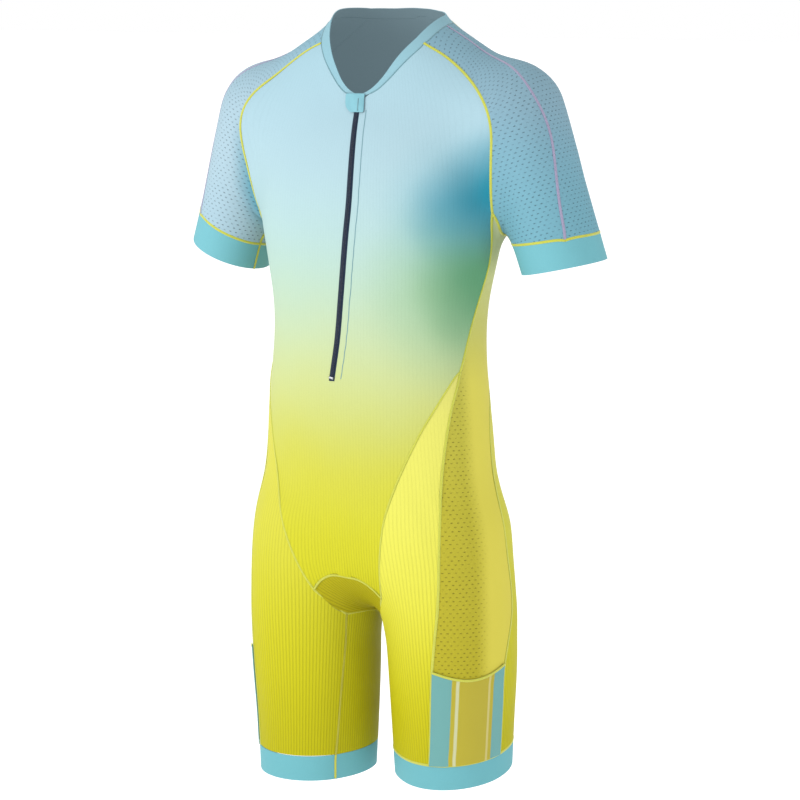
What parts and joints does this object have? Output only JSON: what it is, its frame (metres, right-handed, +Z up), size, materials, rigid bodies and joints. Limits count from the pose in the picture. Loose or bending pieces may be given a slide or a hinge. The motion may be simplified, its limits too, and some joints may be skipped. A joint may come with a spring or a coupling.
{
  "type": "triathlon suit",
  "caption": "Filled-out one-piece triathlon suit with short raglan sleeves, zipped front, side panels with leg pockets, short legs and gripper bands; hollow and open at neck, cuffs and hems.",
  "frame": {"origin": "middle of the line over the shoulders at the side of the neck, where the wearer's shoulders carry the suit", "axes": "+Z up along the wearer, the front faces -Y, the wearer's left is +X"},
  "size_m": [0.5632, 0.2097, 0.9399],
  "materials": {
    "body_cloth": "matte ribbed stretch knit, sky blue at the chest running to yellow at the waist",
    "side_cloth": "matte dimpled stretch knit, pale green at the top running to yellow",
    "leg_cloth": "matte ribbed stretch knit, yellow",
    "sleeve_cloth": "matte dimpled stretch knit, steel blue",
    "pocket_cloth": "stretch mesh with upright stripes in yellow, cream and teal",
    "band_cloth": "smooth elastic band, teal",
    "zip_coil": "moulded nylon coil on a dark woven tape",
    "slider_metal": "cast metal, satin"
  },
  "bodies": {
    "root": {"front": "body_cloth", "back": "body_cloth", "crotch_gusset": "leg_cloth", "collar": "body_cloth", "zip": "zip_coil", "zip_slider": "slider_metal", "zip_flap": "band_cloth", "side_panel_left": "side_cloth", "leg_pocket_left": "pocket_cloth", "leg_front_left": "leg_cloth", "leg_back_left": "leg_cloth", "sleeve_front_left": "sleeve_cloth", "sleeve_back_left": "sleeve_cloth", "arm_cuff_left": "band_cloth", "leg_band_left": "band_cloth", "side_panel_right": "side_cloth", "leg_pocket_right": "pocket_cloth", "leg_front_right": "leg_cloth", "leg_back_right": "leg_cloth", "sleeve_front_right": "sleeve_cloth", "sleeve_back_right": "sleeve_cloth", "arm_cuff_right": "band_cloth", "leg_band_right": "band_cloth"}
  },
  "joints": []
}
